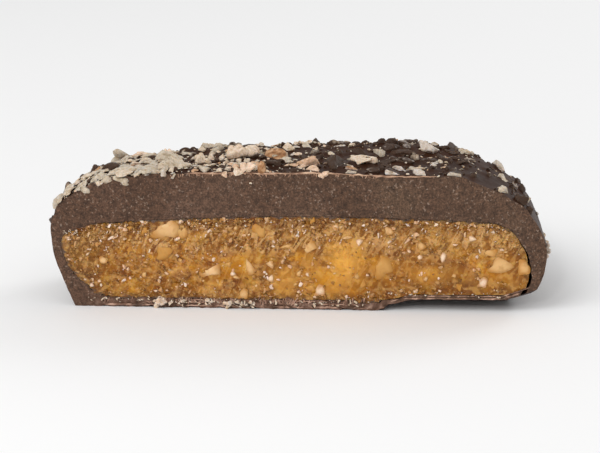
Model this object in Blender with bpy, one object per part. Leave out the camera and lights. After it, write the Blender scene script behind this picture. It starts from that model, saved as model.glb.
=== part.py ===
"""Pecan toffee: one half of a chocolate-coated toffee bar that was cut in two, lying on its flat underside.

The knife cut faces -Y and shows the toffee with its chocolate coat. X runs along the cut and +Z is up.
Shapes are worked out in millimetres and turned to metres as they become meshes.
"""

import math
import random

import bmesh
import bpy
from mathutils import Matrix, Vector, noise

MM = 0.001

# Driving sizes, in millimetres.
BAR_LENGTH = 60.0
HALF_DEPTH = 21.0
BAR_HEIGHT = 17.0
CUT_Y = -12.0  # plane of the knife cut
SKEW = 0.17  # the knife ran askew, so the half is deeper at its right end
SHELL_GAP = 0.3  # between the toffee and the chocolate round it
PLAN_POWER = 4.5  # squareness of the bar seen from above

# Each side: height of its widest level, how far the shoulder and the foot draw in, and the foot's curve.
COAT = {
    "left": (9.8, 11.2, 2.8, 1.6),
    "right": (7.4, 13.5, 4.2, 2.8),
    "back": (6.8, 7.0, 1.3, 2.0),
    "length": BAR_LENGTH,
    "depth": HALF_DEPTH,
    "floor": 0.0,
    "top": BAR_HEIGHT,
    "crest": 4.0,
    "sag": 0.7,
    "lip": 0.45,
    "wave": 0.22,
}
CORE = {
    "left": (8.3, 5.6, 5.2, 2.2),
    "right": (4.9, 4.8, 1.3, 2.0),
    "back": (6.0, 2.6, 1.8, 2.2),
    "length": 56.7,
    "depth": 18.9,
    "floor": 1.1,
    "top": 11.75,
    "crest": 5.0,
    "sag": 1.3,
    "lip": 0.0,
    "wave": 0.0,
}
CORE_SHIFT = -0.35  # the toffee lies a little nearer the left end
CORE_FACES = (24, 3)  # divisions along and back
COAT_FACES = (26, 8)

# Levels up the side wall, from the foot at 0 over the widest level at 0.5 to the shoulder's end at 1.
COAT_LEVELS = (0.0, 0.05, 0.12, 0.24, 0.38, 0.5, 0.56, 0.63, 0.7, 0.77, 0.84, 0.92, 1.0)
CORE_LEVELS = (0.0, 0.07, 0.15, 0.25, 0.37, 0.5, 0.6, 0.68, 0.76, 0.84, 0.92, 1.0)

# The chip broken off the underside at the right of the cut, and the split at its end.
CHIP_RISE = 1.5
CHIP_DEPTH = 5.0
CHIP_PROFILE = ((10.0, 0.0), (24.8, 0.15), (35.0, 5.2))  # along the bar, and how much higher it gets
CORE_LIFT = 0.95  # how far the toffee clears the chip, with a skin of chocolate left under it
CAVITY_LIFT = 0.65
SPLIT_AT = (28.4, 3.9)
SPLIT_SIZE = (0.6, 6.0, 2.4)
SPLIT_TILT = -15.0

# Pecan pieces, in millimetres.
NUT_SEED = 41
NUT_COUNT = 215
NUT_TRIES = 6000
NUT_SMALLEST = 1.25
NUT_LARGEST = 4.2
NUT_FINER = 0.6  # the pieces are smaller towards the right
NUT_CORNERS = 11

# Larger pieces that stand out along the cut: face, place along it, place across it, size, long side.
MARKED_NUTS = (
    ("left", 0.06, 0.66, 2.3, 1.1),
    ("left", 0.08, 0.84, 2.6, 1.3),
    ("left", 0.10, 0.93, 2.9, 1.4),
    ("top", -0.93, 0.08, 3.2, 1.3),
    ("top", -0.80, 0.20, 3.4, 1.5),
    ("top", -0.62, 0.12, 2.4, 1.5),
    ("top", -0.66, 0.52, 3.0, 1.2),
    ("top", -0.36, 0.07, 1.9, 1.2),
    ("top", -0.29, 0.06, 2.1, 1.1),
    ("top", -0.22, 0.07, 2.0, 1.5),
    ("top", -0.42, 0.62, 4.2, 1.3),
    ("top", -0.17, 0.58, 3.4, 1.3),
    ("top", 0.12, 0.05, 1.6, 1.1),
    ("top", 0.50, 0.40, 3.0, 1.2),
    ("top", 0.86, 0.08, 2.7, 1.9),
)

# Pieces of pecan in the cut toffee: x, height, width and height of each, and how far it stands out.
CUT_NUTS = (
    (-15.6, 10.1, 2.6, 1.7, 0.30),
    (-16.2, 7.2, 2.2, 1.8, 0.12),
    (-10.8, 4.8, 2.4, 1.9, 0.28),
    (-6.2, 6.0, 1.3, 2.4, 0.25),
    (-4.9, 10.4, 2.0, 1.5, 0.15),
    (1.0, 8.6, 1.7, 1.6, 0.22),
    (5.4, 7.6, 3.4, 2.8, 0.18),
    (9.9, 5.8, 2.5, 3.0, 0.22),
    (17.6, 7.4, 0.9, 1.8, 0.22),
    (20.9, 9.3, 1.4, 1.2, 0.25),
    (24.6, 5.6, 3.2, 2.7, 0.25),
    (-26.0, 6.1, 1.2, 1.2, 0.15),
    (3.1, 2.8, 1.3, 1.3, 0.25),
)
CRUMB_RELIEF = 0.22  # of the broken toffee's face
DEEPEST, PROUDEST = -0.4, 0.45
GRID_STEP = 1.15

MATERIALS = {
    "dark_chocolate": ((0.066, 0.037, 0.025), 0.42),
    "pecan_toffee": ((0.445, 0.203, 0.042), 0.5),
}


def blend(a, b, share):
    return a + (b - a) * share


def draw_in(side, level):
    """How far a side wall lies inside its widest outline at a level from 0 to 1."""
    _, shoulder, foot, power = side
    if level >= 0.5:
        return shoulder * (1 - math.cos((level - 0.5) * math.pi))
    return foot * (1 - 2 * level) ** power


def wall_height(belly, floor, top, level):
    """Height of a level, with the widest level at the height of the belly."""
    if level >= 0.5:
        return belly + (top - belly) * math.sin((level - 0.5) * math.pi)
    return blend(floor, belly, 2 * level)


def outward(point):
    """Direction that points straight out of the bar, from an inner box that the bar wraps."""
    near = Vector(
        (
            min(max(point.x, -19.0), 19.0),
            min(max(point.y, CUT_Y), CUT_Y + 12.5 + SKEW * point.x),
            min(max(point.z, 5.0), 10.0),
        )
    )
    away = point - near
    return away.normalized() if away.length > 1e-6 else Vector((0, 0, 1))


def body_point(shape, p, q, level, grow=0.0):
    """Point of a bar-shaped body. p runs -1 to 1 along it and q runs 0 to 1 back from the cut."""
    reach = max(abs(p), q)
    round_off = (abs(p) ** PLAN_POWER + q**PLAN_POWER) ** (1 / PLAN_POWER)
    fit = reach / round_off if round_off > 0 else 0.0
    across, back = p * fit, q * fit
    side = shape["left"] if p < 0 else shape["right"]
    half = shape["length"] / 2 + grow - draw_in(side, level)
    x = across * half
    depth = (shape["depth"] + grow - draw_in(shape["back"], level)) + SKEW * x
    y = CUT_Y + back * depth
    turn = back**4 / (back**4 + abs(across) ** 4 + 1e-9)
    belly = blend(side[0], shape["back"][0], turn)
    top = shape["top"] + grow - shape["sag"] * (2 * (x - shape["crest"]) / BAR_LENGTH) ** 2
    floor = shape["floor"] - grow
    z = wall_height(belly, floor, top, level)
    point = Vector((x, y, z))
    if shape["lip"] and reach == 1:
        out = Vector((across, back, 0)).normalized() * back**2
        point += out * shape["lip"] * max(0.0, 1 - level / 0.09) ** 2
    if shape["wave"] and level > 0.1:
        swell = noise.noise(point / 6.5) + 0.5 * noise.noise(point / 2.9)
        point += outward(point) * shape["wave"] * swell * min(1.0, (level - 0.1) * 4)
    return point


def new_object(name, bm):
    bm.normal_update()
    bmesh.ops.recalc_face_normals(bm, faces=bm.faces)
    bmesh.ops.scale(bm, vec=(MM, MM, MM), verts=bm.verts)
    mesh = bpy.data.meshes.new(name)
    bm.to_mesh(mesh)
    bm.free()
    made = bpy.data.objects.new(name, mesh)
    bpy.context.scene.collection.objects.link(made)
    return made


def body_mesh(shape, along, deep, levels, grow=0.0, shift=0.0):
    """Closed bar-shaped body with one flat cut face and one flat underside. Returns it and the cut face."""
    bm = bmesh.new()
    last = len(levels) - 1
    points = {}

    def vert(i, j, k):
        if (i, j, k) not in points:
            place = body_point(shape, 2 * i / along - 1, j / deep, levels[k], grow)
            points[i, j, k] = bm.verts.new(place + Vector((shift, 0, 0)))
        return points[i, j, k]

    def quad(*corners):
        bm.faces.new([vert(*c) for c in corners])

    for i in range(along):
        for j in range(deep):
            quad((i, j, last), (i + 1, j, last), (i + 1, j + 1, last), (i, j + 1, last))
        for k in range(last):
            quad((i, deep, k), (i + 1, deep, k), (i + 1, deep, k + 1), (i, deep, k + 1))
    for j in range(deep):
        for k in range(last):
            for i in (0, along):
                quad((i, j, k), (i, j + 1, k), (i, j + 1, k + 1), (i, j, k + 1))
    underside = (
        [vert(i, 0, 0) for i in range(along + 1)]
        + [vert(along, j, 0) for j in range(1, deep + 1)]
        + [vert(i, deep, 0) for i in reversed(range(along))]
        + [vert(0, j, 0) for j in reversed(range(1, deep))]
    )
    bm.faces.new(underside)
    cut = (
        [vert(i, 0, 0) for i in range(along + 1)]
        + [vert(along, 0, k) for k in range(1, last + 1)]
        + [vert(i, 0, last) for i in reversed(range(along))]
        + [vert(0, 0, k) for k in reversed(range(1, last))]
    )
    return bm, bm.faces.new(cut)


def pull_forward(bm, face, distance):
    """Extends a body in front of the cut, so that the knife passes through it cleanly."""
    made = bmesh.ops.extrude_face_region(bm, geom=[face])["geom"]
    moved = [v for v in made if isinstance(v, bmesh.types.BMVert)]
    bmesh.ops.translate(bm, vec=(0, -distance, 0), verts=moved)
    if face.is_valid:
        bm.faces.remove(face)


def block(name, centre, size, tilt=0.0):
    bm = bmesh.new()
    bmesh.ops.create_cube(bm, size=1.0)
    turn = Matrix.Rotation(tilt, 4, "Y")
    scale = Matrix.Diagonal((*size, 1.0))
    bm.transform(Matrix.Translation(centre) @ turn @ scale)
    return new_object(name, bm)


def chip_block(name, raised):
    """Wedge under the right of the cut. Its slanting upper face runs out towards the back."""
    bm = bmesh.new()
    front, back, low = CUT_Y - 4.0, CUT_Y + CHIP_DEPTH, -6.0
    slope = CHIP_RISE / CHIP_DEPTH
    rings = []
    for n, (x, higher) in enumerate(CHIP_PROFILE):
        lean = 0.9 if n == 0 else 0.0
        high_front = CHIP_RISE + slope * (CUT_Y - front) + raised + higher
        corners = (
            (x, front, low),
            (x + lean, front, high_front),
            (x + lean, back, raised + 0.4 * higher),
            (x, back, low),
        )
        rings.append([bm.verts.new(corner) for corner in corners])
    bm.faces.new(rings[0])
    bm.faces.new(reversed(rings[-1]))
    for one, two in zip(rings, rings[1:]):
        for n in range(4):
            m = (n + 1) % 4
            bm.faces.new((one[n], one[m], two[m], two[n]))
    return new_object(name, bm)


def boolean(target, tools, operation, solver="EXACT"):
    """Joins or cuts with one Boolean on a collection, applies it and removes the tools."""
    group = bpy.data.collections.new("tools")
    for tool in tools:
        group.objects.link(tool)
    modifier = target.modifiers.new(operation.title(), "BOOLEAN")
    modifier.operation = operation
    modifier.operand_type = "COLLECTION"
    modifier.collection = group
    modifier.solver = solver
    graph = bpy.context.evaluated_depsgraph_get()
    joined = bpy.data.meshes.new_from_object(target.evaluated_get(graph))
    target.modifiers.clear()
    target.data = joined
    for tool in tools:
        bpy.data.objects.remove(tool)
    bpy.data.collections.remove(group)


def nut_spot(face, along, across):
    """Place on the coat. On top, along is p and across is q. On a wall, across is the level up it."""
    if face == "top":
        return body_point(COAT, along, across, 1.0)
    if face == "back":
        return body_point(COAT, along, 1.0, across)
    return body_point(COAT, -1.0 if face == "left" else 1.0, along, across)


def nut_share(spot, direction):
    """Chance that a piece of pecan sticks here: thick where the bar faces up, sparse down its walls."""
    if direction.z < 0.3 and spot.y < CUT_Y + 3:
        return 0.0  # the knife left the edges of the end walls clean
    drift = 0.5 + 0.9 * noise.noise(Vector((spot.x / 5.0, spot.y / 5.0, 3.0)))
    least = 0.22 if spot.x < -24 else 0.09
    crowd = min(1.0, max(0.0, (direction.z - 0.1) / 0.45))
    return blend(least * (0.3 + drift), 0.5 + 0.6 * drift, crowd)


def scatter_nuts():
    """Places of all the pecan pieces: a list of spot, direction, size and long side."""
    draw = random.Random(NUT_SEED)
    found = []
    for face, along, across, size, stretch in MARKED_NUTS:
        spot = nut_spot(face, along, across)
        found.append((spot, outward(spot), size, stretch))
    for _ in range(NUT_TRIES):
        face = draw.choices(("top", "back", "left", "right"), (20, 46, 17, 17))[0]
        along = draw.uniform(-1, 1) if face in ("top", "back") else draw.random()
        across = draw.random() if face == "top" else 1 - 0.87 * draw.random() ** 1.2
        coarse = draw.random() ** 2.6
        stretch = draw.uniform(1.0, 1.9)
        chance = draw.random()
        spot = nut_spot(face, along, across)
        size = blend(NUT_SMALLEST, NUT_LARGEST, coarse * (1.0 if spot.x < -3 else NUT_FINER))
        direction = outward(spot)
        clear = all((spot - s).length > 0.5 * (size + o) for s, _, o, _ in found)
        if clear and chance < nut_share(spot, direction):
            found.append((spot, direction, size, stretch))
        if len(found) == NUT_COUNT:
            break
    return found


def nut_piece(name, spot, direction, size, stretch, draw):
    """Angular chip of pecan, sunk a third into the chocolate."""
    bm = bmesh.new()
    for n in range(NUT_CORNERS):
        height = 1 - (2 * n + 1) / NUT_CORNERS
        turn = n * 2.4 + draw.uniform(-0.4, 0.4)
        ring = math.sqrt(1 - height * height)
        corner = Vector((ring * math.cos(turn), ring * math.sin(turn), height))
        bm.verts.new(corner * draw.uniform(0.78, 1.0))
    bmesh.ops.convex_hull(bm, input=bm.verts)
    inner = [v for v in bm.verts if not v.link_faces]
    bmesh.ops.delete(bm, geom=inner, context="VERTS")
    half = size / 2
    flat = draw.uniform(0.55, 0.85)
    scale = Matrix.Diagonal((half * stretch**0.5, half / stretch**0.5, half * flat, 1))
    lean = Matrix.Rotation(draw.uniform(-0.35, 0.35), 4, "X")
    spin = Matrix.Rotation(draw.uniform(0, math.tau), 4, "Z")
    stand = direction.to_track_quat("Z", "Y").to_matrix().to_4x4()
    seat = Matrix.Translation(spot + direction * half * 0.22)
    bm.transform(seat @ stand @ spin @ lean @ scale)
    return new_object(name, bm)


def relief(x, z):
    """How far the broken toffee stands out of the cut: crumbs and crystals, and the pecan pieces in it."""
    rough = noise.noise(Vector((x / 1.3, z / 1.1, 7.0)))
    rough += 0.7 * noise.noise(Vector((x / 3.1, z / 2.4, 1.0)))
    stand = CRUMB_RELIEF * rough
    for nut_x, nut_z, wide, high, proud in CUT_NUTS:
        far = ((x - nut_x) / (0.5 * wide)) ** 2 + ((z - nut_z) / (0.5 * high)) ** 2
        stand += proud * math.exp(-(far**1.5))
    return max(DEEPEST, min(PROUDEST, stand))


def make_core():
    bm, _ = body_mesh(CORE, *CORE_FACES, CORE_LEVELS, shift=CORE_SHIFT)
    core = new_object("toffee_core", bm)
    boolean(core, [chip_block("core_chip", CORE_LIFT)], "DIFFERENCE")
    return core


def roughen_cut(core):
    """Divides the core's cut face into a fine grid and gives it the relief of broken toffee."""
    bm = bmesh.new()
    bm.from_mesh(core.data)
    step = GRID_STEP * MM
    box = [v.co for f in bm.faces if f.normal.y < -0.99 for v in f.verts]
    low_x, high_x = min(c.x for c in box), max(c.x for c in box)
    low_z, high_z = min(c.z for c in box), max(c.z for c in box)
    for normal, low, high in (((1, 0, 0), low_x, high_x), ((0, 0, 1), low_z, high_z)):
        lines = max(1, round((high - low) / step))
        for n in range(1, lines):
            at = Vector(normal) * blend(low, high, n / lines)
            cut = [f for f in bm.faces if f.normal.y < -0.99]
            edges = list({e for f in cut for e in f.edges})
            verts = list({v for f in cut for v in f.verts})
            at.y = CUT_Y * MM
            bmesh.ops.bisect_plane(bm, geom=verts + edges + cut, plane_co=at, plane_no=normal)
    front = [v for v in bm.verts if all(f.normal.y < -0.99 for f in v.link_faces)]
    for v in front:
        v.co.y -= relief(v.co.x / MM, v.co.z / MM) * MM
    bm.to_mesh(core.data)
    bm.free()


def make_coat():
    bm, face = body_mesh(COAT, *COAT_FACES, COAT_LEVELS)
    pull_forward(bm, face, 2.0)
    coat = new_object("chocolate_coating", bm)
    draw = random.Random(NUT_SEED + 1)
    nuts = [
        nut_piece(f"nut_{n}", spot, direction, size, stretch, draw)
        for n, (spot, direction, size, stretch) in enumerate(scatter_nuts())
    ]
    boolean(coat, nuts, "UNION", "MANIFOLD")
    bm, face = body_mesh(CORE, *CORE_FACES, CORE_LEVELS, SHELL_GAP, CORE_SHIFT)
    pull_forward(bm, face, 4.0)
    cavity = new_object("cavity", bm)
    boolean(cavity, [chip_block("cavity_chip", CAVITY_LIFT)], "DIFFERENCE")
    knife = block("knife", (0, CUT_Y - 20, 10), (BAR_LENGTH + 20, 40, 40))
    chip = chip_block("chip", 0.0)
    split_at = (SPLIT_AT[0], CUT_Y, SPLIT_AT[1])
    split = block("split", split_at, SPLIT_SIZE, math.radians(SPLIT_TILT))
    for tool in (knife, cavity, chip, split):
        boolean(coat, [tool], "DIFFERENCE", "MANIFOLD")
    return coat


def give_material(thing, name):
    colour, roughness = MATERIALS[name]
    material = bpy.data.materials.new(name)
    material.use_nodes = True
    shader = material.node_tree.nodes["Principled BSDF"]
    shader.inputs["Base Color"].default_value = (*colour, 1)
    shader.inputs["Roughness"].default_value = roughness
    shader.inputs["Metallic"].default_value = 0.0
    thing.data.materials.clear()
    thing.data.materials.append(material)


def main():
    for thing in list(bpy.data.objects):
        bpy.data.objects.remove(thing, do_unlink=True)
    core = make_core()
    roughen_cut(core)
    coat = make_coat()
    give_material(core, "pecan_toffee")
    give_material(coat, "dark_chocolate")


main()
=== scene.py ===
import math
import random
from functools import partial

import bmesh
import bpy
import numpy as np
from mathutils import Matrix, Vector, kdtree, noise


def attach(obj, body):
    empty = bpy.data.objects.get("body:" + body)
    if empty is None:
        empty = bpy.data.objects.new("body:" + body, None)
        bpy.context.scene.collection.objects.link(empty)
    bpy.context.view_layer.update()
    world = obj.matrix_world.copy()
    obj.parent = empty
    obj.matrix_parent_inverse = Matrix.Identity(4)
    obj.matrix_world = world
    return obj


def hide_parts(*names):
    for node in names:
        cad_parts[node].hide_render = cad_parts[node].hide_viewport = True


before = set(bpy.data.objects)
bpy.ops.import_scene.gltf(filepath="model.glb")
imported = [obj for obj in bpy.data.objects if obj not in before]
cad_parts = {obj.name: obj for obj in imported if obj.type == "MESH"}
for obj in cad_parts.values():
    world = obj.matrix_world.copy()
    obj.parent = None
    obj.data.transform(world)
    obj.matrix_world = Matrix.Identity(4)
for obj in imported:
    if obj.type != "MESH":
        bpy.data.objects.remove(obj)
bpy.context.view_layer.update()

mm = 0.001

# the bar, in millimetres, as the solids have it
bar = {
    "length": 60.0,
    "cutY": -12.0,        # plane of the knife cut
    "skew": 0.17,         # the knife ran askew
    "planPower": 4.5,     # squareness seen from above
    "spine": ((-19.0, 19.0), 12.5, (5.0, 10.0)),     # what its walls face away from: along, back and up
}
cutY = bar["cutY"]
coatForm = {
    "left": (9.8, 11.2, 2.8, 1.6),     # widest height, shoulder draw, foot draw, foot curve
    "right": (7.4, 13.5, 4.2, 2.8),
    "back": (6.8, 7.0, 1.3, 2.0),
    "length": 60.0, "depth": 21.0, "floor": 0.0, "top": 17.0,
    "crest": 4.0, "sag": 0.7, "lip": 0.45, "wave": 0.22,
}
coreForm = {
    "left": (8.3, 5.6, 5.2, 2.2),
    "right": (4.9, 4.8, 1.3, 2.0),
    "back": (6.0, 2.6, 1.8, 2.2),
    "length": 56.7, "depth": 18.9, "floor": 1.1, "top": 11.75,
    "crest": 5.0, "sag": 1.3, "lip": 0.0, "wave": 0.0,
    "shift": -0.35,
}


def mix(a, b, share):
    return a + (b - a) * share


def clamp(value, low, high):
    return min(max(value, low), high)


def ease(low, high, value):
    t = clamp((value - low) / (high - low), 0.0, 1.0)
    return t * t * (3 - 2 * t)


def waver(x, y, z):
    return noise.noise(Vector((x, y, z)))


# how far a wall stands in from its widest place
def drawIn(side, level):
    if level >= 0.5:
        return side[1] * (1 - math.cos((level - 0.5) * math.pi))
    return side[2] * (1 - 2 * level) ** side[3]


# the way that the surface faces near a point
def outward(point):
    ends, back, heights = bar["spine"]
    nearY = clamp(point.y, cutY, cutY + back + bar["skew"] * point.x)
    near = Vector((clamp(point.x, *ends), nearY, clamp(point.z, *heights)))
    away = point - near
    return away.normalized() if away.length > 1e-6 else Vector((0, 0, 1))


# a point of the bar: p along it, q back from the cut, level up its walls
def barPoint(form, p, q, level, grow=0.0):
    reach = max(abs(p), q)
    power = bar["planPower"]
    roundOff = (abs(p) ** power + q ** power) ** (1 / power)
    fit = reach / roundOff if roundOff > 0 else 0.0
    across, back = p * fit, q * fit
    side = form["left"] if p < 0 else form["right"]
    x = across * (form["length"] / 2 + grow - drawIn(side, level))
    y = cutY + back * (form["depth"] + grow - drawIn(form["back"], level) + bar["skew"] * x)
    turn = back**4 / (back**4 + abs(across) ** 4 + 1e-9)
    sideBelly = mix(form["left"][0], form["right"][0], ease(-0.7, 0.7, p))
    belly = mix(sideBelly, form["back"][0], turn)
    top = form["top"] + grow - form["sag"] * (2 * (x - form["crest"]) / bar["length"]) ** 2
    floor = form["floor"] - grow
    if level >= 0.5:
        z = belly + (top - belly) * math.sin((level - 0.5) * math.pi)
    else:
        z = mix(floor, belly, 2 * level)
    point = Vector((x, y, z))
    if form["lip"] and reach == 1:
        out = Vector((across, back, 0)).normalized() * back**2
        point += out * form["lip"] * max(0.0, 1 - level / 0.09) ** 2
    if form["wave"] and level > 0.1:
        swell = noise.noise(point / 6.5) + 0.5 * noise.noise(point / 2.9)
        point += outward(point) * form["wave"] * swell * min(1.0, (level - 0.1) * 4)
    return point


def deselectAll():
    bpy.ops.object.select_all(action="DESELECT")


def pick(*things):
    deselectAll()
    for thing in things:
        thing.select_set(True)
    bpy.context.view_layer.objects.active = things[0]


def addObject(name, data):
    made = bpy.data.objects.new(name, data)
    bpy.context.scene.collection.objects.link(made)
    return made


def applyAll(thing):
    pick(thing)
    for modifier in list(thing.modifiers):
        bpy.ops.object.modifier_apply(modifier=modifier.name)


# cuts the edges or faces that a test picks out into equal parts
def divideWhere(thing, kind, wanted, cuts):
    pick(thing)
    bpy.ops.object.mode_set(mode="EDIT")
    bpy.ops.mesh.select_mode(type=kind)
    bpy.ops.mesh.select_all(action="DESELECT")
    bm = bmesh.from_edit_mesh(thing.data)
    for part in bm.edges if kind == "EDGE" else bm.faces:
        part.select_set(wanted(part))
    bmesh.update_edit_mesh(thing.data)
    bpy.ops.mesh.subdivide(number_cuts=cuts)
    bpy.ops.object.mode_set(mode="OBJECT")


def runsAlong(edge, axis):
    run = edge.verts[1].co - edge.verts[0].co
    return abs(run[axis]) > 0.99 * run.length


# a block from -1 to 1 with so many divisions along, back and up
def dividedBlock(name, counts):
    deselectAll()
    bpy.ops.mesh.primitive_cube_add(size=2, location=(0, 0, 0))
    block = bpy.context.object
    block.name = name
    for axis, count in enumerate(counts):
        divideWhere(block, "EDGE", lambda edge: runsAlong(edge, axis), count - 1)
    return block


def addBall(place, radius, fineness=3):
    deselectAll()
    bpy.ops.mesh.primitive_ico_sphere_add(subdivisions=fineness, radius=radius, location=place)
    ball = bpy.context.object
    ball.data.transform(ball.matrix_world)
    ball.matrix_world = Matrix.Identity(4)
    return ball


# slices a piece at each place and closes it, keeping what lies behind the cut
def chop(thing, *chops):
    pick(thing)
    bpy.ops.object.mode_set(mode="EDIT")
    for at, normal in chops:
        bpy.ops.mesh.select_all(action="SELECT")
        bpy.ops.mesh.bisect(plane_co=at, plane_no=normal, use_fill=True, clear_outer=True)
    bpy.ops.object.mode_set(mode="OBJECT")


# gives the divided block the bar's form; the block's own x, y and z are p, q and level
def formBlock(block, form, grow=0.0, pull=0.0):
    for vert in block.data.vertices:
        p, q, level = round(vert.co.x, 6), round((vert.co.y + 1) / 2, 6), round((vert.co.z + 1) / 2, 6)
        spot = barPoint(form, p, q, level, grow)
        if "shift" in form:      # the toffee broke unevenly, and lies a little to the left
            spot += tornEdge(spot)
            spot.x += form["shift"]
        if q == 0:
            spot.y -= pull
        vert.co = spot


def carve(thing, tool):
    modifier = thing.modifiers.new("Difference", "BOOLEAN")
    modifier.operation = "DIFFERENCE"
    modifier.object = tool
    modifier.solver = "MANIFOLD"
    applyAll(thing)
    bpy.data.objects.remove(tool)


def toMetres(thing):
    thing.data.transform(Matrix.Diagonal((mm, mm, mm, 1)))
    thing.data.update()
    return thing


def hexColour(text):
    parts = [int(text[n:n + 2], 16) / 255 for n in (1, 3, 5)]
    return tuple(c / 12.92 if c <= 0.04045 else ((c + 0.055) / 1.055) ** 2.4 for c in parts) + (1,)


# a node given as a value is linked by the first output that it shows
def setInputs(node, values):
    for key, value in values.items():
        if isinstance(value, bpy.types.Node):
            value = next(output for output in value.outputs if output.enabled)
        if isinstance(value, bpy.types.NodeSocket):
            node.id_data.links.new(value, node.inputs[key])
        else:
            node.inputs[key].default_value = hexColour(value) if isinstance(value, str) else value


# adds a node with its settings and links; size is one repeat of a pattern on the piece, in millimetres
def addNode(tree, kind, values=None, stops=(), size=None, **settings):
    node = tree.nodes.new("ShaderNode" + kind)
    for key, value in settings.items():
        setattr(node, key, value)
    if stops:
        elements = node.color_ramp.elements
        while len(elements) < len(stops):
            elements.new(0.5)
        for element, (place, colour) in zip(elements, stops):
            element.position = place
            element.color = hexColour(colour) if isinstance(colour, str) else (colour, colour, colour, 1)
    if size:
        places = tree.nodes.get("Texture Coordinate") or tree.nodes.new("ShaderNodeTexCoord")
        setInputs(node, {"Vector": places.outputs["Object"], "Scale": 1000 / size})
    setInputs(node, values or {})
    return node


def newMaterial(name):
    material = bpy.data.materials.new(name)
    material.use_nodes = True
    return material, partial(addNode, material.node_tree)


# lays colours over a ground, each by its share and strength, and gives the shader its own values
def finishMaterial(material, ground, layers, values):
    for share, strength, over, *blend in layers:
        if strength != 1:
            share = addNode(material.node_tree, "Math", {0: share, 1: strength}, operation="MULTIPLY")
        ground = addNode(material.node_tree, "Mix", {0: share, 6: ground, 7: over}, data_type="RGBA")
        ground.blend_type = blend[0] if blend else "MIX"
    setInputs(material.node_tree.nodes["Principled BSDF"], {"Base Color": ground} | values)
    return material


print("scene: forms ready")

nutScatter = {
    "seed": 41,
    "count": 215,
    "tries": 6000,
    "smallest": 1.25,
    "largest": 4.2,
    "finer": 0.6,                 # the pieces are smaller towards the right
    "coarseness": 2.6,            # higher, and fewer of them are large
    "faces": {"top": 20, "back": 46, "left": 17, "right": 17},      # how often each is drawn
    "down": 0.87,                 # how far down the walls they reach
    "fewest": (0.22, 0.09),       # share on the walls at the left end, and elsewhere
    "corners": 11,
    "flatness": (0.55, 0.85),     # height by size
    "lean": 0.35,                 # in radians
    "rise": 0.22,                 # of its middle above the surface, by half its size
}
# larger pieces along the cut: face, along, across, size, long side, kind, tone
markedNuts = (
    ("left", 0.06, 0.66, 2.3, 1.1, "chip", 0.12),
    ("left", 0.08, 0.84, 2.6, 1.3, "flake", 0.22),
    ("left", 0.10, 0.93, 2.9, 1.4, "flake", 0.30),
    ("top", -0.93, 0.08, 3.2, 1.3, "flake", 0.25),
    ("top", -0.80, 0.20, 3.4, 1.5, "flake", 0.33),
    ("top", -0.62, 0.12, 2.4, 1.5, "flake", 0.20),
    ("top", -0.66, 0.52, 3.0, 1.2, "clump", 0.45),
    ("top", -0.36, 0.07, 1.9, 1.2, "clump", 0.93),
    ("top", -0.29, 0.06, 2.1, 1.1, "chip", 0.62),
    ("top", -0.22, 0.07, 2.0, 1.5, "skinned", 0.80),
    ("top", -0.42, 0.62, 4.2, 1.3, "clump", 0.62),
    ("top", -0.17, 0.58, 3.4, 1.3, "skinned", 0.60),
    ("top", 0.12, 0.05, 1.6, 1.1, "chip", 0.88),
    ("top", 0.50, 0.40, 3.0, 1.2, "flake", 0.55),
    ("top", 0.86, 0.08, 2.7, 1.9, "flake", 0.05),
)


# a place on the coat; across runs back on the top, and up on the walls
def nutSpot(face, along, across):
    if face == "top":
        return barPoint(coatForm, along, across, 1.0)
    if face == "back":
        return barPoint(coatForm, along, 1.0, across)
    return barPoint(coatForm, -1.0 if face == "left" else 1.0, along, across)


# how likely a piece lands at a place: the walls carry fewer, and more of them at the left end
def nutShare(spot, direction):
    if direction.z < 0.3 and spot.y < cutY + 3:
        return 0.0      # the knife left the edges of the end walls clean
    drift = 0.5 + 0.9 * waver(spot.x / 5.0, spot.y / 5.0, 3.0)
    least = nutScatter["fewest"][spot.x >= -24]
    crowd = clamp((direction.z - 0.1) / 0.45, 0.0, 1.0)
    return mix(least * (0.3 + drift), 0.5 + 0.6 * drift, crowd)


def drawSpot(draw):
    faces = nutScatter["faces"]
    face = draw.choices(list(faces), list(faces.values()))[0]
    along = draw.uniform(-1, 1) if face in ("top", "back") else draw.random()
    across = draw.random() if face == "top" else 1 - nutScatter["down"] * draw.random() ** 1.2
    return face, along, across


# the same rule and seed as the solids, so every piece lies on the one it stands for
def scatterNuts():
    draw = random.Random(nutScatter["seed"])
    found = []
    for face, along, across, size, stretch, _, _ in markedNuts:
        spot = nutSpot(face, along, across)
        found.append((spot, outward(spot), size, stretch))
    for _ in range(nutScatter["tries"]):
        face, along, across = drawSpot(draw)
        coarse = draw.random() ** nutScatter["coarseness"]
        stretch = draw.uniform(1.0, 1.9)
        chance = draw.random()
        spot = nutSpot(face, along, across)
        finer = 1.0 if spot.x < -3 else nutScatter["finer"]
        size = mix(nutScatter["smallest"], nutScatter["largest"], coarse * finer)
        direction = outward(spot)
        clear = all((spot - s).length > 0.5 * (size + o) for s, _, o, _ in found)
        if clear and chance < nutShare(spot, direction):
            found.append((spot, direction, size, stretch))
        if len(found) == nutScatter["count"]:
            break
    return found


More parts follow.
